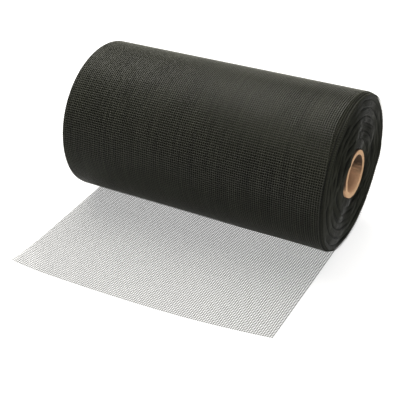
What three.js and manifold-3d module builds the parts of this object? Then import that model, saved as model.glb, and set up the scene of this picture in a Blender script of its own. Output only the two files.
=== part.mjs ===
// A roll of woven insect screen, wound on a cardboard tube, with its free end pulled out flat.
// Millimetres, +Z up. The roll lies on its side with its axis along X, and the free end runs to -Y.
// The origin is under the middle of the whole thing, on the ground.
import * as THREE from "three";
import { mergeVertices } from "three/addons/utils/BufferGeometryUtils.js";
import Module from "manifold-3d";

// Screen: one strip, sold by its width, and wound until the roll has its outer radius.
const strip_width = 186;
const roll_radius = 53.25;
const edge_round = 1.2;

// Core tube that the strip is wound on.
const core_bore_radius = 12.7;
const core_wall = 3.3;
const core_overhang = 0.5;
const winding_gap = 0.3;

// The outer laps have slid to the left along the roll, and the free end with them.
const outer_lap_slide = 3.9;
const outer_lap_thickness = 1.1;

// The turns right under them have spread to the left as far as they have, by this much of the radius.
const spread_turns_thickness = 3;

// Ends of the roll: bundles of turns stand apart.
const turn_bundles = 9;
const bundle_groove_depth = 0.7;
const bundle_groove_width = 0.8;

// Free end: the cut edge is longest at the left, and its left corner curls up off the ground.
const tail_length = 122;
const tail_skew = 11.5;
const tail_skew_power = 3;
const tail_thickness = 0.5;
const corner_lift = 2;
const corner_lift_reach = 32;

// A plain grid of openings stands in for the mesh of the free end. It starts in front of the roll's axis.
const tail_openings_across = 12;
const tail_openings_along = 7;
const tail_bar_width = 3.5;
const tail_root = 12;

// Facets of the round forms, and the grid of the free end.
const turned_facets = 72;
const tail_columns = 16;
const tail_rows = 8;

// The flats of the round forms lie at the stated radii, one of them on the ground.
const facet_angle = (2 * Math.PI) / turned_facets;
const flat_to_corner = 1 / Math.cos(facet_angle / 2);
const core_outer_radius = core_bore_radius + core_wall;
const roll_bore_radius = core_outer_radius + winding_gap;
const inner_lap_radius = roll_radius - outer_lap_thickness;
const half_width = strip_width / 2;
const core_half = half_width + core_overhang;

// Reach of the whole thing to each side of the inner turns' middle, for the place of the origin.
const right_reach = Math.max(core_half, half_width - outer_lap_slide);
const left_reach = Math.max(core_half, half_width + outer_lap_slide);

const wasm = await Module();
wasm.setup();

// Turns a closed profile of [place along X, radius] around the roll's axis, which runs over y = 0.
function turned(profile) {
  const points = profile.map(([along, radius]) => new THREE.Vector2(radius * flat_to_corner, along));
  points.push(points[0].clone());
  const geometry = new THREE.LatheGeometry(points, turned_facets, facet_angle / 2);
  geometry.rotateZ(-Math.PI / 2);
  geometry.translate(0, 0, roll_radius);
  return geometry;
}

function as_solid(geometry) {
  const plain = geometry.clone();
  plain.deleteAttribute("normal");
  plain.deleteAttribute("uv");
  const merged = mergeVertices(plain, 1e-4);
  return new wasm.Manifold(new wasm.Mesh({
    numProp: 3,
    vertProperties: new Float32Array(merged.attributes.position.array),
    triVerts: new Uint32Array(merged.index.array),
  }));
}

function as_geometry(solid) {
  const mesh = solid.getMesh();
  const geometry = new THREE.BufferGeometry();
  geometry.setAttribute("position", new THREE.BufferAttribute(new Float32Array(mesh.vertProperties), 3));
  geometry.setIndex(new THREE.BufferAttribute(new Uint32Array(mesh.triVerts), 1));
  geometry.computeVertexNormals();
  return geometry;
}

// One end of the winding, from the outside in. Side is +1 at the right end and -1 at the left.
// Its bundles of turns start under step_radius: the rim of the inner turns, or the step up to the turns that
// have spread to the left.
function end_profile(side) {
  const outer_edge = side * half_width - outer_lap_slide;
  const step_radius = side > 0 ? inner_lap_radius : inner_lap_radius - spread_turns_thickness;
  const points = [
    [outer_edge, roll_radius],
    [outer_edge, step_radius],
  ];
  for (const step of [0, 0.5, 1]) {
    const angle = (step * Math.PI) / 2;
    points.push([
      side * (half_width - edge_round * (1 - Math.sin(angle))),
      step_radius - edge_round * (1 - Math.cos(angle)),
    ]);
  }
  const bundle = (step_radius - edge_round - roll_bore_radius) / turn_bundles;
  for (let turn = 1; turn < turn_bundles; turn += 1) {
    const radius = step_radius - edge_round - turn * bundle;
    points.push(
      [side * half_width, radius + bundle_groove_width / 2],
      [side * (half_width - bundle_groove_depth), radius],
      [side * half_width, radius - bundle_groove_width / 2],
    );
  }
  points.push([side * half_width, roll_bore_radius]);
  return points;
}

// The wound strip as one turned ring: right end, bore, left end, outer face.
function winding() {
  return turned([...end_profile(1), ...end_profile(-1).reverse()]);
}

// How far the cut edge lies in front of the roll's axis, at a place across the strip.
function cut_edge(across) {
  return tail_length - tail_skew * across ** tail_skew_power;
}

// How high the ground side of the free end lies: flat, apart from its curled left corner.
function tail_lift(x, y) {
  const to_corner = Math.hypot(x + half_width + outer_lap_slide, y + tail_length);
  return corner_lift * Math.max(0, 1 - to_corner / corner_lift_reach) ** 2;
}

// Lays a block of the flat strip down: slid with the outer laps, cut aslant and with its left corner up.
function laid(geometry) {
  const position = geometry.attributes.position;
  for (let i = 0; i < position.count; i += 1) {
    const x = position.getX(i) - outer_lap_slide;
    const y = (position.getY(i) / tail_length) * cut_edge(0.5 + position.getX(i) / strip_width);
    position.setXYZ(i, x, y, position.getZ(i) + tail_lift(x, y));
  }
  return as_solid(geometry);
}

// The sheet of the free end, from the roll's axis forward.
function tail_sheet() {
  const geometry = new THREE.BoxGeometry(strip_width, tail_length, tail_thickness, tail_columns, tail_rows, 1);
  geometry.translate(0, -tail_length / 2, tail_thickness / 2);
  return laid(geometry);
}

// The grid of openings in it, with a bar along each side and along the cut edge.
function tail_openings() {
  const cell_width = (strip_width - tail_bar_width) / tail_openings_across;
  const cell_length = (tail_length - tail_root - tail_bar_width) / tail_openings_along;
  const openings = [];
  for (let column = 0; column < tail_openings_across; column += 1) {
    for (let row = 0; row < tail_openings_along; row += 1) {
      const geometry = new THREE.BoxGeometry(
        cell_width - tail_bar_width,
        cell_length - tail_bar_width,
        4 * tail_thickness,
      );
      geometry.translate(
        (column + 0.5) * cell_width + tail_bar_width / 2 - half_width,
        (row + 0.5) * cell_length + tail_bar_width / 2 - tail_length,
        tail_thickness / 2,
      );
      openings.push(laid(geometry));
    }
  }
  return wasm.Manifold.union(openings);
}

const screen_finish = new THREE.MeshStandardMaterial({ color: 0x33352f, roughness: 0.6, metalness: 0 });
const core_finish = new THREE.MeshStandardMaterial({ color: 0xb98a5e, roughness: 0.85, metalness: 0 });

const screen = as_solid(winding()).add(tail_sheet().subtract(tail_openings()));
const screen_roll = new THREE.Mesh(as_geometry(screen), screen_finish);
screen_roll.name = "screen_roll";

// The core tube stands out of the inner turns by its overhang at both ends.
const core_tube = new THREE.Mesh(
  turned([
    [core_half, core_outer_radius],
    [core_half, core_bore_radius],
    [-core_half, core_bore_radius],
    [-core_half, core_outer_radius],
  ]),
  core_finish,
);
core_tube.name = "core_tube";

const roll = new THREE.Group();
roll.add(screen_roll, core_tube);
roll.position.set((left_reach - right_reach) / 2, (tail_length - roll_radius) / 2, 0);
export default roll;
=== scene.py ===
"""The looks of a roll of woven insect screen with its free end pulled out flat. Metres, +Z up."""

import math

import bpy
import numpy as np
from bpy.props import FloatProperty, FloatVectorProperty, IntProperty, PointerProperty
from mathutils import Matrix, Vector


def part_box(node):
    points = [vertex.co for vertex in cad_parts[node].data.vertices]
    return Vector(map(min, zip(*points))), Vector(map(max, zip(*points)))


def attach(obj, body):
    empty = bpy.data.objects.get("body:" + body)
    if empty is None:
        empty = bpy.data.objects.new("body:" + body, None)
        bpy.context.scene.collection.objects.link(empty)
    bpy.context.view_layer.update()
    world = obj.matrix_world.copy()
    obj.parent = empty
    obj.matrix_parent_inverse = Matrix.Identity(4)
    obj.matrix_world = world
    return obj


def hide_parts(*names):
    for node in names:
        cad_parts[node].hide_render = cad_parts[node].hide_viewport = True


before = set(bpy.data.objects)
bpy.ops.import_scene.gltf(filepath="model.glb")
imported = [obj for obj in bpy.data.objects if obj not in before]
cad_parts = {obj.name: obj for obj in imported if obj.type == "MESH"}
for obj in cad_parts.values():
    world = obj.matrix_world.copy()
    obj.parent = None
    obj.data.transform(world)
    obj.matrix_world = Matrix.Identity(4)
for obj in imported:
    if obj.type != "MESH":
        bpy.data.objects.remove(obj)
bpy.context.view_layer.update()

bl_info = {
    "name": "Insect screen roll",
    "version": (1, 0, 0),
    "blender": (4, 5, 0),
    "location": "View3D > Sidebar > Screen roll",
    "description": "Woven yarn, wound turns and a board core for a roll of insect screen",
    "category": "Object",
}

# Places that the frame gives. The roll's axis runs along X, and the roll rests on z = 0.
screen_low, screen_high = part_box("screen_roll")
core_low, core_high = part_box("core_tube")
axis_y = (core_low.y + core_high.y) / 2
axis_z = (core_low.z + core_high.z) / 2
core_radius = (core_high.z - core_low.z) / 2
roll_radius = axis_z
tail_length = axis_y - screen_low.y

FULL_TURN = 2 * math.pi

# How far round the roll the right edge takes to come back from its notch, and how late across the strip
# that pull starts.
NOTCH_REACH = math.radians(45)
NOTCH_CURVE = 4.0

# How quickly a slump fades out from the bottom of the roll upwards.
SLUMP_CURVE = 3.0


class RollSizes(bpy.types.PropertyGroup):
    """Sizes of the wound strip."""

    strip_width: FloatProperty(
        name="Strip width",
        description="Cut width of the screen",
        default=0.186,
        unit="LENGTH",
    )
    lap_thickness: FloatProperty(
        name="Lap thickness",
        description="What one lap adds to the radius",
        default=0.00036,
        unit="LENGTH",
    )
    loose_laps: IntProperty(
        name="Loose laps",
        description="Outer laps that have slid along the roll",
        default=3,
        min=2,
        max=5,
    )
    inner_lap_depth: FloatProperty(
        name="Inner turns' depth",
        description="How far the inner turns lie under the outer lap",
        default=0.0011,
        unit="LENGTH",
    )
    bore_gap: FloatProperty(
        name="Gap at the core",
        description="Clearance between core and first turn",
        default=0.0003,
        unit="LENGTH",
    )
    slump: FloatProperty(
        name="Slump",
        description="How far the inner turns have slid sideways at the bottom",
        default=0.0033,
        unit="LENGTH",
    )
    slide: FloatProperty(
        name="Slide",
        description="How far the outer laps have slid on average",
        default=-0.0042,
        unit="LENGTH",
    )
    slide_swing: FloatProperty(
        name="Slide swing",
        description="How much the slide changes round the roll",
        default=0.00165,
        unit="LENGTH",
    )
    slide_phase: FloatProperty(
        name="Slide phase",
        description="Where round the roll the slide is average",
        default=math.radians(14),
        subtype="ANGLE",
    )
    right_slide: FloatProperty(
        name="Right edge's slide",
        description="How far the right edge has slid, past the notch in it",
        default=-0.0014,
        unit="LENGTH",
    )
    notch_angle: FloatProperty(
        name="Notch",
        description="Where round the roll the right edge starts to come back",
        default=math.radians(200),
        subtype="ANGLE",
    )
    spread_depth: FloatProperty(
        name="Spread turns",
        description="Depth of the turns that have spread to the left with the outer laps",
        default=0.003,
        unit="LENGTH",
    )
    bands: IntProperty(
        name="Bundles",
        description="Bundles of turns that stand apart on the ends",
        default=7,
        min=3,
        max=12,
    )
    band_stagger: FloatProperty(
        name="Bundle stagger",
        description="How far bundles stand out past each other",
        default=0.0010,
        unit="LENGTH",
    )
    band_groove: FloatProperty(
        name="Groove depth",
        description="Depth of the gap between two bundles",
        default=0.0022,
        unit="LENGTH",
    )


class YarnSizes(bpy.types.PropertyGroup):
    """Sizes of the vinyl-coated glass yarn and of its weave."""

    diameter: FloatProperty(
        name="Yarn diameter",
        description="Diameter of the coated yarn",
        default=0.000336,
        unit="LENGTH",
    )
    warp_pitch: FloatProperty(
        name="Warp pitch",
        description="18 yarns to the inch across the strip",
        default=0.0254 / 18,
        unit="LENGTH",
    )
    weft_pitch: FloatProperty(
        name="Weft pitch",
        description="16 yarns to the inch along the strip",
        default=0.0254 / 16,
        unit="LENGTH",
    )
    crimp: FloatProperty(
        name="Crimp",
        description="How far a yarn bends over the one that it crosses",
        default=0.00002,
        unit="LENGTH",
    )
    drift: FloatProperty(
        name="Drift",
        description="How far yarns stray from a straight line",
        default=0.0003,
        unit="LENGTH",
    )


class TailSizes(bpy.types.PropertyGroup):
    """Sizes of the free end."""

    skew: FloatProperty(
        name="Row skew",
        description="How much shorter the right side is, where the rows of weft bend back",
        default=0.0115,
        unit="LENGTH",
    )
    skew_power: FloatProperty(
        name="Row curve",
        description="How late the rows bend back",
        default=3.0,
    )
    corner_lift: FloatProperty(
        name="Corner lift",
        description="Height of the curled left corner",
        default=0.002,
        unit="LENGTH",
    )
    corner_reach: FloatProperty(
        name="Corner reach",
        description="How far the curl reaches from the corner",
        default=0.032,
        unit="LENGTH",
    )


class CoreSizes(bpy.types.PropertyGroup):
    """Sizes of the board tube."""

    wall: FloatProperty(
        name="Wall",
        description="Thickness of the board",
        default=0.0033,
        unit="LENGTH",
    )
    rim_round: FloatProperty(
        name="Rim rounding",
        description="Radius of the worn rim edges",
        default=0.0006,
        unit="LENGTH",
    )
    seam_pitch: FloatProperty(
        name="Seam pitch",
        description="Advance of the spiral seam in one turn",
        default=0.062,
        unit="LENGTH",
    )
    seam_depth: FloatProperty(
        name="Seam depth",
        description="Depth of the spiral seam",
        default=0.00018,
        unit="LENGTH",
    )


class Finishes(bpy.types.PropertyGroup):
    """Colours of yarn and board."""

    yarn: FloatVectorProperty(
        name="Yarn",
        description="Charcoal vinyl on the yarn",
        default=(0.031, 0.0325, 0.023),
        subtype="COLOR",
    )
    # Inner turns: the yarn colour made darker, painted shade for the turns under the outer laps.
    deep_shaded: FloatVectorProperty(
        name="Inner turns",
        description="Turns seen through the outer laps",
        default=(0.010, 0.0105, 0.0092),
        subtype="COLOR",
    )
    board: FloatVectorProperty(
        name="Board",
        description="Kraft board of the core",
        default=(0.30, 0.18, 0.105),
        subtype="COLOR",
    )
    board_rim: FloatVectorProperty(
        name="Board rim",
        description="Cut end of the board",
        default=(0.56, 0.335, 0.175),
        subtype="COLOR",
    )


GROUPS = {
    "roll_sizes": RollSizes,
    "yarn_sizes": YarnSizes,
    "tail_sizes": TailSizes,
    "core_sizes": CoreSizes,
    "finishes": Finishes,
}


# Formulas and nodes


class Term:
    """A number in a node tree, so that a formula reads as one."""

    def __init__(self, maker, socket):
        self.maker = maker
        self.socket = socket

    def __add__(self, other):
        return self.maker.math("ADD", self, other)

    def __sub__(self, other):
        return self.maker.math("SUBTRACT", self, other)

    def __rsub__(self, other):
        return self.maker.math("SUBTRACT", other, self)

    def __mul__(self, other):
        return self.maker.math("MULTIPLY", self, other)

    def __truediv__(self, other):
        return self.maker.math("DIVIDE", self, other)

    def __pow__(self, other):
        return self.maker.math("POWER", self, other)

    def at_most(self, other):
        return self.maker.math("MINIMUM", self, other)

    def at_least(self, other):
        return self.maker.math("MAXIMUM", self, other)

    def sine(self):
        return self.maker.math("SINE", self)

    def cosine(self):
        return self.maker.math("COSINE", self)


class Maker:
    """Adds nodes to a node tree and links them as it goes."""

    def __init__(self, tree):
        self.tree = tree

    def feed(self, socket, value):
        if isinstance(value, Term):
            value = value.socket
        if isinstance(value, bpy.types.NodeSocket):
            self.tree.links.new(value, socket)
        else:
            socket.default_value = value

    def node(self, kind, inputs=None, **settings):
        made = self.tree.nodes.new(kind)
        for name, value in settings.items():
            setattr(made, name, value)
        for name, value in (inputs or {}).items():
            self.feed(made.inputs[name], value)
        return made

    def math(self, operation, *values):
        made = self.node("ShaderNodeMath", operation=operation)
        for socket, value in zip(made.inputs, values):
            self.feed(socket, value)
        return Term(self, made.outputs[0])

    def parts(self, vector):
        """The x, y and z of a vector."""
        made = self.node("ShaderNodeSeparateXYZ", {0: vector})
        return [Term(self, socket) for socket in made.outputs]

    def vector(self, x, y, z):
        return self.node("ShaderNodeCombineXYZ", {0: x, 1: y, 2: z}).outputs[0]

    def noise(self, vector, scale, detail=2.0):
        """Smooth noise from -0.5 to 0.5, one value for each axis."""
        made = self.node("ShaderNodeTexNoise", {"Vector": vector, "Scale": scale, "Detail": detail})
        return [part - 0.5 for part in self.parts(made.outputs["Color"])]


class Former(Maker):
    """A Geometry Nodes tree with named inputs."""

    def __init__(self, name):
        super().__init__(bpy.data.node_groups.new(name, "GeometryNodeTree"))
        self.tree.interface.new_socket("Geometry", in_out="INPUT", socket_type="NodeSocketGeometry")
        self.tree.interface.new_socket("Geometry", in_out="OUTPUT", socket_type="NodeSocketGeometry")
        self.start = self.tree.nodes.new("NodeGroupInput")

    def input(self, name, kind="Float"):
        self.tree.interface.new_socket(name, in_out="INPUT", socket_type="NodeSocket" + kind)
        return Term(self, self.start.outputs[name])

    def finish(self, geometry, material):
        """Ends the tree: real, smooth-shaded faces with their material."""
        real = self.node("GeometryNodeRealizeInstances", {0: geometry})
        smooth = self.node("GeometryNodeSetShadeSmooth", {0: real.outputs[0]})
        painted = self.node(
            "GeometryNodeSetMaterial", {"Geometry": smooth.outputs[0], "Material": material}
        )
        end = self.tree.nodes.new("NodeGroupOutput")
        self.feed(end.inputs[0], painted.outputs[0])
        return self.tree


def link(piece):
    bpy.context.scene.collection.objects.link(piece)
    return piece


def grow(name, tree, values):
    """A plain mesh piece from a node tree and the values of its named inputs."""
    piece = link(bpy.data.objects.new(name, bpy.data.meshes.new(name)))
    modifier = piece.modifiers.new(tree.name, "NODES")
    modifier.node_group = tree
    for socket in tree.interface.items_tree:
        if socket.in_out == "INPUT" and socket.name in values:
            modifier[socket.identifier] = values[socket.name]
    evaluated = piece.evaluated_get(bpy.context.evaluated_depsgraph_get())
    mesh = bpy.data.meshes.new_from_object(evaluated)
    if not mesh.polygons:
        raise RuntimeError(f"{name} came out empty")
    piece.modifiers.clear()
    piece.data = mesh
    mesh.name = name
    return piece


def settle(piece, node):
    """The piece stands for a solid of the frame: it hangs from the root body, and that solid is hidden."""
    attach(piece, "root")
    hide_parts(node)


# Places that several pieces share


def sizes():
    scene = bpy.context.scene
    return scene.roll_sizes, scene.yarn_sizes, scene.tail_sizes, scene.core_sizes, scene.finishes


def inner_left(roll):
    """The left end of the inner turns."""
    return screen_high.x - roll.strip_width


def inner_radius(roll):
    return roll_radius - roll.inner_lap_depth


def bore_radius(roll):
    return core_radius + roll.bore_gap


def section_radius(diameter, sides):
    """Corner radius of a section whose outline is as long as the round yarn's."""
    return math.pi * diameter / (2 * sides * math.sin(math.pi / sides))


# Materials. Noise is in waves to a metre, and a stretch draws it out along the yarn or the tube.
BATH_TONES = 45.0
YARN_GRAIN = 1800.0
YARN_STREAKS = 640.0
STREAK_STRETCH = 0.03
YARN_ROUGHNESS = 0.42
TURN_TONES = 60.0
TURN_GRAIN = 900.0
TURN_ROUGHNESS = 0.62
TURN_GLOSS = 0.1
BOARD_FIBRES = 700.0
FIBRE_STRETCH = 0.3
BOARD_STAINS = 90.0
BOARD_PLIES = 7
BOARD_ROUGHNESS = 0.8
BUMP_HEIGHT = 0.0002


def new_material(name):
    """A material, the maker of its nodes and its shader."""
    material = bpy.data.materials.new(name)
    material.use_nodes = True
    maker = Maker(material.node_tree)
    return material, maker, material.node_tree.nodes["Principled BSDF"]


def blend_colours(maker, share, low, high):
    """A colour between two, by share."""
    mixed = maker.node("ShaderNodeMix", {"Factor": share}, data_type="RGBA")
    maker.feed(mixed.inputs[6], (*low, 1))
    maker.feed(mixed.inputs[7], (*high, 1))
    return mixed.outputs[2]


def scaled(colour, factor):
    return tuple(min(1, channel * factor) for channel in colour)


def coated_yarn(name, colour, gloss):
    """Vinyl-coated yarn: satin, with slow changes of tone from the coating bath."""
    material, maker, shader = new_material(name)
    place = maker.node("ShaderNodeTexCoord").outputs["Object"]
    slow = maker.noise(place, BATH_TONES, 3.0)[0]
    fine = maker.noise(place, YARN_GRAIN, 1.0)[1]
    x, y, z = maker.parts(place)
    drawn_out = maker.vector(x, y * STREAK_STRETCH, z * STREAK_STRETCH)
    streaks = maker.noise(drawn_out, YARN_STREAKS, 1.0)[2]
    share = (slow * 0.8 + fine * 0.6 + streaks * 1.6 + 0.5).at_least(0.0).at_most(1.0)
    tone = blend_colours(maker, share, scaled(colour, 0.6), scaled(colour, 1.45))
    maker.feed(shader.inputs["Base Color"], tone)
    maker.feed(shader.inputs["Roughness"], slow * 0.2 + YARN_ROUGHNESS)
    shader.inputs["Specular IOR Level"].default_value = gloss
    return material


def shaded_deep_turns(colour):
    """Tightly wound turns: the yarn colour darkened as painted shade, rows of yarn as ridges, and more
    painted shade between the rows.
    """
    material, maker, shader = new_material("shaded_deep_turns")
    place = maker.node("ShaderNodeTexCoord").outputs["Object"]
    rows = maker.parts(maker.node("ShaderNodeUVMap", uv_map="rows").outputs[0])
    warps = (rows[0] * FULL_TURN).cosine()
    wefts = (rows[1] * FULL_TURN).cosine()
    ridge_and_gap_shade = warps.at_least(wefts)
    slow = maker.noise(place, TURN_TONES, 3.0)[0]
    grain = maker.noise(place, TURN_GRAIN, 2.0)[1]
    # Painted shade: the tone drops between the rows of yarn, where the gaps are.
    share = (ridge_and_gap_shade * 0.35 + slow * 0.6 + grain * 1.2 + 0.45).at_least(0.0).at_most(1.0)
    tone = blend_colours(maker, share, scaled(colour, 0.45), scaled(colour, 1.9))
    maker.feed(shader.inputs["Base Color"], tone)
    maker.feed(shader.inputs["Roughness"], slow * 0.2 + TURN_ROUGHNESS)
    shader.inputs["Specular IOR Level"].default_value = TURN_GLOSS
    bump = maker.node(
        "ShaderNodeBump",
        {"Strength": 0.7, "Distance": BUMP_HEIGHT, "Height": ridge_and_gap_shade * 0.5 + grain},
    )
    maker.feed(shader.inputs["Normal"], bump.outputs[0])
    return material


def kraft_board(board, rim, wall):
    """Spiral-wound board: fibres along the plies, paler and layered where it is cut, and painted light that
    makes its face paler below the axis and darker above it."""
    material, maker, shader = new_material("kraft_board")
    place = maker.node("ShaderNodeTexCoord").outputs["Object"]
    x, y, z = maker.parts(place)
    depth = maker.math("SQRT", (y - axis_y) ** 2 + (z - axis_z) ** 2)
    plies = (depth * (FULL_TURN * BOARD_PLIES / wall)).sine()
    end = maker.parts(maker.node("ShaderNodeNewGeometry").outputs["Normal"])[0]
    cut = (maker.math("ABSOLUTE", end) * 2.2 - 0.9).at_least(0.0).at_most(1.0)
    fibre = maker.noise(maker.vector(x * FIBRE_STRETCH, y, z), BOARD_FIBRES, 4.0)[0]
    stain = maker.noise(place, BOARD_STAINS, 3.0)[1]
    # Painted light and shade: the board face is made paler below the axis and darker above it.
    painted_height_light = (axis_z - z) / core_radius
    share = (fibre * 1.3 + stain * 0.8 + plies * cut * 0.14 + 0.5).at_least(0.0).at_most(1.0)
    grain_and_painted_light = (share + painted_height_light * 2.2 - 0.5).at_least(0.0).at_most(1.0)
    face = blend_colours(maker, grain_and_painted_light, scaled(board, 0.28), scaled(board, 3.0))
    edge = blend_colours(maker, share, scaled(rim, 0.8), scaled(rim, 1.25))
    tone = maker.node("ShaderNodeMix", {"Factor": cut}, data_type="RGBA")
    maker.feed(tone.inputs[6], face)
    maker.feed(tone.inputs[7], edge)
    maker.feed(shader.inputs["Base Color"], tone.outputs[2])
    maker.feed(shader.inputs["Roughness"], fibre * 0.15 + BOARD_ROUGHNESS)
    bump = maker.node(
        "ShaderNodeBump", {"Strength": 0.5, "Distance": BUMP_HEIGHT, "Height": fibre + plies * cut * 0.4}
    )
    maker.feed(shader.inputs["Normal"], bump.outputs[0])
    return material


# Closed round forms


def closed_grid(name, places, rows, material):
    """A closed ring-like mesh from places[point of the profile][angle], with rows as its UV map.
    Both run once more round, so that the first row and column are there again at the end."""
    count, facets = places.shape[0] - 1, places.shape[1] - 1
    points = places[:-1, :-1].reshape(-1, 3)
    i, j = np.meshgrid(np.arange(count), np.arange(facets), indexing="ij")
    corners = [(i, j), (i, j + 1), (i + 1, j + 1), (i + 1, j)]
    faces = np.stack([(a % count) * facets + b % facets for a, b in corners], axis=-1).reshape(-1, 4)
    uv = np.stack([rows[a, b] for a, b in corners], axis=2).reshape(-1, 2)
    mesh = bpy.data.meshes.new(name)
    mesh.from_pydata(points.tolist(), [], faces.tolist())
    mesh.uv_layers.new(name="rows").data.foreach_set("uv", uv.astype(np.float32).ravel())
    mesh.shade_smooth()
    mesh.materials.append(material)
    if not points_outwards(mesh):
        mesh.flip_normals()
    return link(bpy.data.objects.new(name, mesh))


def points_outwards(mesh):
    """Whether a closed mesh has a positive volume."""
    mesh.calc_loop_triangles()
    points = np.array([v.co for v in mesh.vertices])
    a, b, c = (points[[t.vertices[k] for t in mesh.loop_triangles]] for k in range(3))
    return (a * np.cross(b, c)).sum() > 0


def waves(angle, seed, low, high):
    """Smooth noise round a circle, about -1 to 1, from seeded waves."""
    draw = np.random.default_rng(1000 + seed)
    total = np.zeros_like(angle)
    for turns in range(low, high + 1):
        total += draw.normal() * np.cos(turns * angle + draw.uniform(0, FULL_TURN))
    return total / math.sqrt(high - low + 1)


# Bundles of turns on the ends: how they thin out towards the rim, how far their edges stray, the waves to
# a turn of their sway and of the ripple on it, how square they are, and the relief of single turns.
BUNDLE_THINNING = 0.9
BUNDLE_STRAY = 0.0006
SWAYS = (1, 6)
RIPPLES = (9, 22)
RIPPLE_SHARE = 0.16
CROWN_SQUARENESS = 6
TURN_SWAYS = (2, 19)
TURN_RELIEF = 0.00016
TURN_SPACING = 0.0013


def end_relief(roll, radius, angle, side):
    """How far the end of the winding stands out at a radius and an angle: bundles of turns,
    staggered in waves, with a groove between each two."""
    low, high = bore_radius(roll), inner_radius(roll)
    draw = np.random.default_rng(20 + side)
    edges = low + (high - low) * (np.arange(roll.bands + 1) / roll.bands) ** BUNDLE_THINNING
    edges[1:-1] += draw.uniform(-BUNDLE_STRAY, BUNDLE_STRAY, roll.bands - 1)
    relief = np.zeros_like(radius)
    for band in range(roll.bands):
        inside = (radius >= edges[band]) & (radius <= edges[band + 1])
        across = np.clip((radius - edges[band]) / (edges[band + 1] - edges[band]), 0, 1)
        seed = 40 * side + band
        sway = waves(angle, seed, *SWAYS) + RIPPLE_SHARE * waves(angle, seed + 9, *RIPPLES)
        stagger = roll.band_stagger * sway
        crown = 1 - np.abs(2 * across - 1) ** CROWN_SQUARENESS
        relief += np.where(inside, stagger * crown - roll.band_groove * (1 - crown), 0)
    turns = TURN_RELIEF * waves(angle, 7, *TURN_SWAYS) * np.sin(radius * FULL_TURN / TURN_SPACING)
    return relief + turns


# Step up to the spread turns: its width, its sharpness, and how far they stop short of the outer laps.
SPREAD_STEP = 0.0005
SPREAD_SHARPNESS = 4
SPREAD_SHORTFALL = 0.0002


def spread(roll, radius, angle):
    """How far a turn at the left end has spread outwards, nearly as far as the outer laps have slid."""
    depth = (radius - inner_radius(roll) + roll.spread_depth) / SPREAD_STEP
    share = 1 / (1 + np.exp(-depth * SPREAD_SHARPNESS))
    return share * (roll.slide + roll.slide_swing * np.sin(angle - roll.slide_phase) + SPREAD_SHORTFALL)


def slumped(roll, radius, angle):
    """How far a turn has slid along the roll. The angle runs from the bottom, up the back."""
    low = ((1 + np.cos(angle)) / 2) ** SLUMP_CURVE
    return -roll.slump * low * (radius / roll_radius) ** 2


class SCREEN_ROLL_OT_wound_turns(bpy.types.Operator):
    """The tightly wound inner turns, with bundles of turns standing apart on both ends"""

    bl_idname = "screen_roll.wound_turns"
    bl_label = "Wound turns"

    facets = 216
    end_steps = 120
    length_steps = 40
    edge_round = 0.0012
    even_rim = 0.004
    room_for_rim_yarns = 1.2

    def execute(self, context):
        roll, yarn, _, _, finishes = sizes()
        low = bore_radius(roll)
        high = inner_radius(roll) - self.room_for_rim_yarns * yarn.diameter
        left, right = inner_left(roll), screen_high.x
        radii = np.linspace(low, high, self.end_steps)
        length = np.linspace(right, left, self.length_steps)[1:-1]
        radius = np.concatenate([radii, np.full(len(length), high), radii[::-1], [low]])
        along = np.concatenate([np.full(len(radii), right), length, np.full(len(radii), left), [right]])
        side = np.concatenate([np.ones(len(radii)), np.zeros(len(length)), -np.ones(len(radii)), [1]])
        angle = np.linspace(0, FULL_TURN, self.facets + 1)
        grid_radius = np.repeat(radius[:, None], len(angle), axis=1)
        grid_angle = np.repeat(angle[None], len(radius), axis=0)
        relief = np.zeros_like(grid_radius)
        for value in (1, -1):
            chosen = side == value
            form = self.end_form(roll, grid_radius[chosen], grid_angle[chosen], high, value)
            relief[chosen] = value * form
        relief[side == -1] += spread(roll, grid_radius[side == -1], grid_angle[side == -1])
        x = along[:, None] + relief + slumped(roll, grid_radius, grid_angle)
        y = axis_y + grid_radius * np.sin(grid_angle)
        z = axis_z - grid_radius * np.cos(grid_angle)
        places = np.stack([x, y, z], axis=-1)
        across = np.where(side == 0, along / yarn.warp_pitch, radius / roll.lap_thickness)
        rows = np.stack([
            np.repeat(across[:, None], len(angle), axis=1),
            grid_angle * roll_radius / yarn.weft_pitch,
        ], axis=-1)
        # The inner turns take the darkened yarn colour, which is painted shade.
        piece = closed_grid("wound_turns", places, rows, shaded_deep_turns(finishes.deep_shaded))
        settle(piece, "screen_roll")
        return {"FINISHED"}

    def end_form(self, roll, radius, angle, high, side):
        """The relief of one end, fading out at its even rim and rounded off at its outer edge."""
        inward = np.clip((radius - high + self.edge_round) / self.edge_round, 0, 1)
        rounding = self.edge_round * (1 - np.sqrt(1 - inward**2))
        calm = np.clip((high - radius) / self.even_rim, 0, 1)
        return end_relief(roll, radius, angle, side) * calm - rounding


# The weave. Strays and waves of the cloth are noise, in waves to a metre.
STRAYS = 28.0
CLOTH_WAVES = 16.0
CLOTH_WAVE_STRETCH = 0.6
CLOTH_WAVE_LAYER = 0.3


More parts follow.
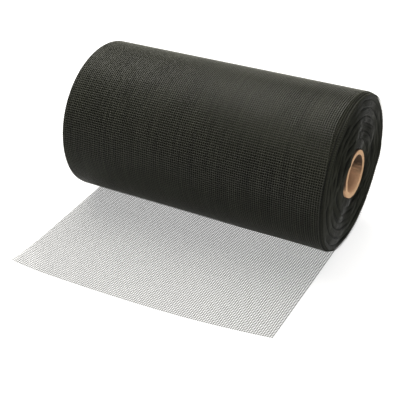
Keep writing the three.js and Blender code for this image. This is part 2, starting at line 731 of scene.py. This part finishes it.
def weave_tree():
    """One stretch of the woven strip. Warps and wefts are made flat, as x across the strip, y along it
    and z above its lower face, with rows that bend back to the right, then laid and wound."""
    t = Former("woven strip")
    wefts = t.input("Wefts", "Int")
    warp_copies, weft_copies = t.input("Warp Copies", "Int"), t.input("Weft Copies", "Int")
    warp_steps, weft_steps = t.input("Warp Steps", "Int"), t.input("Weft Steps", "Int")
    warp_pitch, weft_pitch = t.input("Warp Pitch"), t.input("Weft Pitch")
    first_warp, first_weft = t.input("First Warp"), t.input("First Weft")
    left_edge, right_edge = t.input("Left Edge"), t.input("Right Edge")
    section, sides, crimp = t.input("Section Radius"), t.input("Sides", "Int"), t.input("Crimp")
    drift, bend, power = t.input("Drift"), t.input("Row Bend"), t.input("Row Curve")
    material = t.input("Material", "Material")

    last_weft = first_weft + weft_pitch * wefts
    profile = t.node("GeometryNodeCurvePrimitiveCircle", {"Resolution": sides, "Radius": section})

    def row(count, start, offset, line_from, line_to, steps):
        """Copies of one straight yarn, side by side."""
        points = t.node(
            "GeometryNodeMeshLine", {"Count": count, "Start Location": start, "Offset": offset}
        )
        line = t.node("GeometryNodeCurvePrimitiveLine", {"Start": line_from, "End": line_to})
        stepped = t.node("GeometryNodeResampleCurve", {"Curve": line.outputs[0], "Count": steps + 1})
        copies = t.node(
            "GeometryNodeInstanceOnPoints",
            {"Points": points.outputs[0], "Instance": stepped.outputs[0]},
        )
        return t.node("GeometryNodeRealizeInstances", {0: copies.outputs[0]}).outputs[0]

    def woven(yarns, over):
        """Bends yarns over and under each other and gives them their section."""
        x, y, _ = t.parts(t.node("GeometryNodeInputPosition").outputs[0])
        warp_turn = ((x - first_warp) / warp_pitch * math.pi).cosine()
        turn = warp_turn * ((y - first_weft) / weft_pitch * math.pi).cosine()
        lifted = t.node(
            "GeometryNodeSetPosition",
            {"Geometry": yarns, "Offset": t.vector(0.0, 0.0, turn * crimp * over)},
        )
        tube = t.node(
            "GeometryNodeCurveToMesh",
            {"Curve": lifted.outputs[0], "Profile Curve": profile.outputs[0]},
        )
        tube.inputs["Fill Caps"].default_value = True
        return tube.outputs[0]

    warp_line = row(
        warp_copies, t.vector(first_warp, 0.0, 0.0), t.vector(warp_pitch, 0.0, 0.0),
        t.vector(0.0, first_weft - weft_pitch * 0.5, 0.0),
        t.vector(0.0, last_weft - weft_pitch * 0.5, 0.0), warp_steps,
    )
    weft_line = row(
        weft_copies, t.vector(0.0, first_weft, 0.0), t.vector(0.0, weft_pitch, 0.0),
        t.vector(left_edge, 0.0, 0.0), t.vector(right_edge, 0.0, 0.0), weft_steps,
    )
    both = t.node("GeometryNodeJoinGeometry")
    t.feed(both.inputs[0], woven(warp_line, 1.0))
    t.feed(both.inputs[0], woven(weft_line, -1.0))

    x, y, z = t.parts(t.node("GeometryNodeInputPosition").outputs[0])
    across = ((x - left_edge) / (right_edge - left_edge)).at_least(0.0).at_most(1.0)
    shortened = y - y.at_most(0.0) * bend * across**power
    bent = t.node(
        "GeometryNodeSetPosition",
        {"Geometry": both.outputs[0], "Position": t.vector(x, shortened, z)},
    )
    wound = wind(t, bent.outputs[0], across, section, crimp, drift)
    return t.finish(wound, material)


def wind(t, geometry, across, section, crimp, drift):
    """Lays the flat weave on the ground in front of the roll's axis and winds the rest round the roll. All
    of it slides sideways, and past a notch the right edge comes back and keeps up with the slump."""
    depth, lap, uneven = t.input("Depth"), t.input("Lap Thickness"), t.input("Unevenness")
    slide, swing, phase = t.input("Slide"), t.input("Slide Swing"), t.input("Slide Phase")
    slump = t.input("Slump")
    right_slide, right_slump = t.input("Right Slide"), t.input("Right Slump")
    notch = t.input("Notch Angle")
    lift, reach = t.input("Corner Lift"), t.input("Corner Reach")
    corner_x, corner_y = t.input("Corner Across"), t.input("Corner Along")
    place = t.node("GeometryNodeInputPosition").outputs[0]
    x, y, z = t.parts(place)
    stray = t.noise(t.vector(x, y, 0.0), STRAYS)
    wide = t.noise(t.vector(x, y * CLOTH_WAVE_STRETCH, CLOTH_WAVE_LAYER), CLOTH_WAVES)
    to_corner = t.math("SQRT", (x - corner_x) ** 2.0 + (y - corner_y) ** 2.0)
    curl = (1.0 - to_corner / reach).at_least(0.0) ** 2.0 * lift
    x = x + stray[0] * drift
    y = y + stray[1] * drift
    angle = y.at_least(0.0) / roll_radius
    height = z + section + crimp + (wide[2] + 0.5) * uneven
    radius = roll_radius - depth - lap * angle * (1 / FULL_TURN) - height
    low = ((angle.cosine() + 1.0) * 0.5) ** SLUMP_CURVE
    past = ((angle - notch) / NOTCH_REACH).at_least(0.0).at_most(1.0)
    slid = slide + swing * (angle - phase).sine()
    held = (past * past * (3.0 - past * 2.0)) * across**NOTCH_CURVE
    sideways = slid + (right_slide - right_slump * low - slid) * held - slump * low
    wound = t.vector(
        x + sideways,
        y.at_most(0.0) + radius * angle.sine() + axis_y,
        axis_z - radius * angle.cosine() + curl,
    )
    return t.node("GeometryNodeSetPosition", {"Geometry": geometry, "Position": wound}).outputs[0]


def strip_values(material, **changes):
    """Values of the weave's inputs for the outer lap, with what differs for another stretch."""
    roll, yarn, _, _, _ = sizes()
    left = inner_left(roll)
    warps = int(roll.strip_width / yarn.warp_pitch) + 1
    values = {
        "Warps": warps,
        "Wefts": round(FULL_TURN * roll_radius / yarn.weft_pitch),
        "Warp Pitch": yarn.warp_pitch,
        "Weft Pitch": yarn.weft_pitch,
        "First Warp": left + (roll.strip_width - (warps - 1) * yarn.warp_pitch) / 2,
        "First Weft": yarn.weft_pitch / 2,
        "Left Edge": left,
        "Right Edge": screen_high.x,
        "Crimp": yarn.crimp,
        "Drift": yarn.drift,
        "Row Bend": 0.0,
        "Row Curve": 1.0,
        "Depth": 0.0,
        "Lap Thickness": roll.lap_thickness,
        "Unevenness": 0.0,
        "Slide": roll.slide,
        "Slide Swing": roll.slide_swing,
        "Slide Phase": roll.slide_phase,
        "Right Slide": roll.right_slide,
        "Right Slump": roll.slump,
        "Notch Angle": roll.notch_angle,
        "Slump": 0.0,
        "Corner Lift": 0.0,
        "Corner Reach": 0.01,
        "Material": material,
    }
    values.update(changes)
    values.setdefault("Warp Copies", values["Warps"])
    values.setdefault("Weft Copies", values["Wefts"])
    sides = values.setdefault("Sides", 3)
    values["Section Radius"] = section_radius(yarn.diameter, sides)
    values.setdefault("Warp Steps", values["Wefts"] + 1)
    values.setdefault("Weft Steps", values["Warps"] + 1)
    return values


class SCREEN_ROLL_OT_outer_laps(bpy.types.Operator):
    """The loose outer laps: the outermost one woven yarn by yarn, plainer ones under it"""

    bl_idname = "screen_roll.outer_laps"
    bl_label = "Outer laps"

    hidden_turn_steps = 72
    hidden_weft_steps = 8
    yarn_gloss = 0.34
    # shaded_yarn is a darker copy of the same yarn: painted shade for the laps under the outer one and for
    # the turns' edges on the ends.
    shaded_tone = 0.68
    shaded_gloss = 0.08

    def execute(self, context):
        roll, yarn, _, _, finishes = sizes()
        material = coated_yarn("charcoal_yarn", finishes.yarn, self.yarn_gloss)
        shaded = coated_yarn("shaded_yarn", scaled(finishes.yarn, self.shaded_tone), self.shaded_gloss)
        tree = weave_tree()
        warps_alone = strip_values(material, **{"Weft Copies": 0})
        wefts_alone = strip_values(material, **{"Warp Copies": 0})
        settle(grow("outer_lap_warps", tree, warps_alone), "screen_roll")
        settle(grow("outer_lap_wefts", tree, wefts_alone), "screen_roll")
        one_lap = strip_values(material)["Wefts"]
        hidden = roll.loose_laps - 1
        under = strip_values(shaded, **{
            "Wefts": one_lap * hidden,
            "First Weft": one_lap * yarn.weft_pitch + yarn.weft_pitch / 2,
            "Warp Steps": self.hidden_turn_steps * hidden,
            "Weft Steps": self.hidden_weft_steps,
            "Crimp": 0.0,
            "Slump": roll.slump,
            "Right Slump": 0.0,
        })
        settle(grow("under_laps", tree, under), "screen_roll")
        return {"FINISHED"}


class SCREEN_ROLL_OT_free_end(bpy.types.Operator):
    """The free end of the strip, woven yarn by yarn and laid on the ground"""

    bl_idname = "screen_roll.free_end"
    bl_label = "Free end"

    unevenness = 0.0008
    yarn_sides = 4

    def execute(self, context):
        roll, yarn, tail, _, finishes = sizes()
        values = strip_values(
            bpy.data.materials["charcoal_yarn"],
            **{
                "Wefts": round(tail_length / yarn.weft_pitch),
                "First Weft": yarn.weft_pitch / 2 - tail_length,
                "Sides": self.yarn_sides,
                "Row Bend": tail.skew / tail_length,
                "Row Curve": tail.skew_power,
                "Corner Lift": tail.corner_lift,
                "Corner Reach": tail.corner_reach,
                "Corner Across": inner_left(roll),
                "Corner Along": -tail_length,
                "Unevenness": self.unevenness,
            },
        )
        piece = grow("free_end", bpy.data.node_groups["woven strip"], values)
        settle(piece, "screen_roll")
        return {"FINISHED"}


class SCREEN_ROLL_OT_turn_ends(bpy.types.Operator):
    """The edges of the inner turns on both ends: rings of yarn, and the outermost one's short tips"""

    bl_idname = "screen_roll.turn_ends"
    bl_label = "Turn ends"

    rim_warps = 6
    rim_reach = 0.0085
    loose_tips = 0.0009
    ring_stray = 0.0005
    room_for_rim_yarns = 2

    def execute(self, context):
        roll, yarn, _, _, finishes = sizes()
        # Painted shade: the rim turns and the rings on the ends take the darker copy of the yarn.
        shaded = bpy.data.materials["shaded_yarn"]
        weave = bpy.data.node_groups["woven strip"]
        rings = ring_tree()
        margin = strip_values(shaded)["First Warp"] - inner_left(roll)
        for name, side in (("right", 1), ("left", -1)):
            end = screen_high.x if side > 0 else inner_left(roll)
            first = end - margin - (self.rim_warps - 1) * yarn.warp_pitch if side > 0 else end + margin
            values = strip_values(shaded, **{
                "Warps": self.rim_warps,
                "First Warp": first,
                "Left Edge": end - self.rim_reach if side > 0 else end,
                "Right Edge": end + self.loose_tips if side > 0 else end + self.rim_reach,
                "Depth": roll.inner_lap_depth,
                "Slide": 0.0 if side > 0 else roll.slide,
                "Slide Swing": 0.0 if side > 0 else roll.slide_swing,
                "Right Slide": 0.0,
                "Right Slump": 0.0,
                "Slump": roll.slump * (inner_radius(roll) / roll_radius) ** 2,
            })
            settle(grow(f"rim_turn_{name}", weave, values), "screen_roll")
            edges = grow(f"turn_edges_{name}", rings, self.ring_values(shaded, side))
            settle(edges, "screen_roll")
        return {"FINISHED"}

    def ring_values(self, material, side):
        roll, yarn, _, _, _ = sizes()
        low = bore_radius(roll)
        high = inner_radius(roll) - self.room_for_rim_yarns * yarn.diameter
        turns = int((high - low) / roll.lap_thickness)
        return {
            "Winding": bpy.data.objects["wound_turns"],
            "Turns": turns,
            "First Radius": low + yarn.diameter,
            "Turn Step": (high - low) / turns,
            "Side": float(side),
            "Section Radius": section_radius(yarn.diameter, 3),
            "Stray": self.ring_stray,
            "Material": material,
        }


# Rings of yarn on the ends: their facets, how far out the search for the end of the winding starts and
# how far it goes, the noise of their stray, and how proud of the end they lie, in yarn radii.
RING_FACETS = 108
SEARCH_START = 0.2
SEARCH_LENGTH = 0.3
RING_STRAYS = 420.0
RING_PROUD = 0.2


def ring_tree():
    """The edge of each inner turn as a ring of yarn that lies on the end of the winding."""
    t = Former("turn edges")
    winding = t.input("Winding", "Object")
    turns, first, step = t.input("Turns", "Int"), t.input("First Radius"), t.input("Turn Step")
    side, section, stray = t.input("Side"), t.input("Section Radius"), t.input("Stray")
    material = t.input("Material", "Material")
    points = t.node("GeometryNodeMeshLine", {"Count": turns, "Offset": (0.0, 0.0, 0.0)})
    circle = t.node("GeometryNodeCurvePrimitiveCircle", {"Resolution": RING_FACETS, "Radius": 1.0})
    number = Term(t, t.node("GeometryNodeInputIndex").outputs[0])
    radius = first + step * number
    size = t.vector(radius, radius, radius)
    copies = t.node(
        "GeometryNodeInstanceOnPoints",
        {"Points": points.outputs[0], "Instance": circle.outputs[0], "Scale": size},
    )
    flat = t.node("GeometryNodeRealizeInstances", {0: copies.outputs[0]}).outputs[0]
    across, along, _ = t.parts(t.node("GeometryNodeInputPosition").outputs[0])
    y, z = along + axis_y, axis_z - across
    shape = t.node("GeometryNodeObjectInfo", {"Object": winding}).outputs["Geometry"]
    ray = t.node("GeometryNodeRaycast")
    t.feed(ray.inputs["Target Geometry"], shape)
    t.feed(ray.inputs["Source Position"], t.vector(side * SEARCH_START, y, z))
    t.feed(ray.inputs["Ray Direction"], t.vector(side * -1.0, 0.0, 0.0))
    t.feed(ray.inputs["Ray Length"], SEARCH_LENGTH)
    hit = t.parts(ray.outputs["Hit Position"])[0]
    loose = t.noise(t.vector(across, along, side), RING_STRAYS)[0]
    place = t.vector(hit + side * (loose * stray + section * RING_PROUD), y, z)
    laid = t.node("GeometryNodeSetPosition", {"Geometry": flat, "Position": place}).outputs[0]
    profile = t.node("GeometryNodeCurvePrimitiveCircle", {"Resolution": 3, "Radius": section})
    tube = t.node("GeometryNodeCurveToMesh", {"Curve": laid, "Profile Curve": profile.outputs[0]})
    return t.finish(tube.outputs[0], material)


class SCREEN_ROLL_OT_board_core(bpy.types.Operator):
    """The board tube that the screen is wound on, with worn rims and its spiral seams"""

    bl_idname = "screen_roll.board_core"
    bl_label = "Board core"

    facets = 128
    rim_steps = 7
    face_steps = 6
    length_steps = 90
    seam_width = 0.012

    def execute(self, context):
        _, _, _, core, finishes = sizes()
        bore = core_radius - core.wall
        bend = np.linspace(0, math.pi / 2, self.rim_steps)
        turned_in = core.rim_round * (1 - np.sin(bend))
        turned_down = core.rim_round * (1 - np.cos(bend))
        right, left = core_high.x, core_low.x
        length = np.linspace(right - core.rim_round, left + core.rim_round, self.length_steps)[1:-1]
        face = np.linspace(core_radius - core.rim_round, bore + core.rim_round, self.face_steps)[1:-1]
        along = np.concatenate([
            length, left + turned_in, np.full(len(face), left), (left + turned_in)[::-1],
            length[::-1], right - turned_in, np.full(len(face), right), (right - turned_in)[::-1],
        ])
        radius = np.concatenate([
            np.full(len(length), core_radius), core_radius - turned_down,
            face, (bore + turned_down)[::-1],
            np.full(len(length), bore), bore + turned_down,
            face[::-1], (core_radius - turned_down)[::-1],
        ])
        along, radius = np.append(along, along[0]), np.append(radius, radius[0])
        angle = np.linspace(0, FULL_TURN, self.facets + 1)
        grid_angle = np.repeat(angle[None], len(along), axis=0)
        turn = (along[:, None] / core.seam_pitch + grid_angle / FULL_TURN) % 1
        seam = core.seam_depth * np.exp(-((turn - 0.5) / self.seam_width) ** 2)
        inward = np.where(radius > core_radius - core.wall / 2, 1, -1)[:, None]
        ring = radius[:, None] - inward * seam
        places = np.stack([
            np.repeat(along[:, None], len(angle), axis=1),
            axis_y + ring * np.sin(grid_angle),
            axis_z - ring * np.cos(grid_angle),
        ], axis=-1)
        rows = np.stack([places[:, :, 0], grid_angle * core_radius], axis=-1)
        board = kraft_board(finishes.board, finishes.board_rim, core.wall)
        piece = closed_grid("board_core", places, rows, board)
        settle(piece, "core_tube")
        return {"FINISHED"}


class SCREEN_ROLL_OT_stage(bpy.types.Operator):
    """The floor, the soft lights and the camera"""

    bl_idname = "screen_roll.stage"
    bl_label = "Stage"

    def execute(self, context):
        make_floor()
        make_lights()
        make_camera()
        return {"FINISHED"}


# Most of the ground's white is the floor's own glow. Light in watts, sizes in metres.
WHITE = (1, 1, 1, 1)
FLOOR_SIDE = 6.0
FLOOR_COLOUR = (0.27, 0.27, 0.27, 1)
FLOOR_ROUGHNESS = 0.9
FLOOR_GLOW = 0.79
STUDIO_LIGHT = 0.4
SOFTBOX_PLACE = (-0.35, 0.35, 1.1)
SOFTBOX_POWER = 47.0
SOFTBOX_SIDE = 1.2
SOFTBOX_COLOUR = (1.0, 0.97, 0.91)


def make_floor():
    mesh = bpy.data.meshes.new("floor")
    half = FLOOR_SIDE / 2
    corners = [(-half, -half, 0), (half, -half, 0), (half, half, 0), (-half, half, 0)]
    mesh.from_pydata(corners, [], [(0, 1, 2, 3)])
    material, _, shader = new_material("pale_floor")
    shader.inputs["Base Color"].default_value = FLOOR_COLOUR
    shader.inputs["Roughness"].default_value = FLOOR_ROUGHNESS
    shader.inputs["Emission Color"].default_value = WHITE
    shader.inputs["Emission Strength"].default_value = FLOOR_GLOW
    mesh.materials.append(material)
    link(bpy.data.objects.new("floor", mesh))


def make_lights():
    """A dim white studio and one square soft light that faces the roll."""
    world = bpy.data.worlds.new("studio")
    world.use_nodes = True
    background = world.node_tree.nodes["Background"]
    background.inputs["Color"].default_value = WHITE
    background.inputs["Strength"].default_value = STUDIO_LIGHT
    bpy.context.scene.world = world
    light = bpy.data.lights.new("overhead", "AREA")
    light.energy = SOFTBOX_POWER
    light.size = SOFTBOX_SIDE
    light.color = SOFTBOX_COLOUR
    lamp = link(bpy.data.objects.new("overhead", light))
    lamp.location = SOFTBOX_PLACE
    from_roll = Vector(SOFTBOX_PLACE) - Vector((0, axis_y, axis_z))
    lamp.rotation_euler = from_roll.to_track_quat("Z", "Y").to_euler()


# Camera, found from the outline: its turn, tilt and roll, its place from the inner turns' left end and the
# roll's axis in roll radii, and its focal length in picture widths.
camera_turn = math.radians(-30.73)
camera_tilt = math.radians(33.60)
camera_roll = math.radians(2.53)
camera_place = (6.591, -8.8669, 5.8383)
camera_focal = 907.8 / 400
SENSOR = 36.0


def make_camera():
    roll = bpy.context.scene.roll_sizes
    forward = Vector((
        math.sin(camera_turn) * math.cos(camera_tilt),
        math.cos(camera_turn) * math.cos(camera_tilt),
        -math.sin(camera_tilt),
    ))
    level = forward.cross(Vector((0, 0, 1))).normalized()
    down = forward.cross(level)
    right = math.cos(camera_roll) * level + math.sin(camera_roll) * down
    up = math.sin(camera_roll) * level - math.cos(camera_roll) * down
    data = bpy.data.cameras.new("camera")
    data.sensor_width = SENSOR
    data.lens = camera_focal * SENSOR
    camera = link(bpy.data.objects.new("camera", data))
    start = Vector((inner_left(roll), axis_y, axis_z))
    camera.matrix_world = Matrix.Translation(start + Vector(camera_place) * roll_radius) @ Matrix(
        (right, up, -forward)
    ).transposed().to_4x4()
    bpy.context.scene.camera = camera


OPERATORS = (
    SCREEN_ROLL_OT_wound_turns,
    SCREEN_ROLL_OT_outer_laps,
    SCREEN_ROLL_OT_free_end,
    SCREEN_ROLL_OT_turn_ends,
    SCREEN_ROLL_OT_board_core,
    SCREEN_ROLL_OT_stage,
)


class SCREEN_ROLL_PT_pieces(bpy.types.Panel):
    """The pieces of the roll"""

    bl_label = "Screen roll"
    bl_idname = "SCREEN_ROLL_PT_pieces"
    bl_space_type = "VIEW_3D"
    bl_region_type = "UI"
    bl_category = "Screen roll"

    def draw(self, context):
        for name, group in GROUPS.items():
            box = self.layout.box()
            for size in group.__annotations__:
                box.prop(getattr(context.scene, name), size)
        for operator in OPERATORS:
            self.layout.operator(operator.bl_idname)


def register():
    for group in GROUPS.values():
        bpy.utils.register_class(group)
    for name, group in GROUPS.items():
        setattr(bpy.types.Scene, name, PointerProperty(type=group))
    for operator in OPERATORS:
        bpy.utils.register_class(operator)
    bpy.utils.register_class(SCREEN_ROLL_PT_pieces)


def unregister():
    bpy.utils.unregister_class(SCREEN_ROLL_PT_pieces)
    for operator in reversed(OPERATORS):
        bpy.utils.unregister_class(operator)
    for name, group in GROUPS.items():
        delattr(bpy.types.Scene, name)
        bpy.utils.unregister_class(group)


def main():
    register()
    bpy.context.scene.view_settings.view_transform = "Standard"
    bpy.ops.screen_roll.wound_turns()
    bpy.ops.screen_roll.outer_laps()
    bpy.ops.screen_roll.free_end()
    bpy.ops.screen_roll.turn_ends()
    bpy.ops.screen_roll.board_core()
    bpy.ops.screen_roll.stage()


if __name__ == "__main__":
    main()
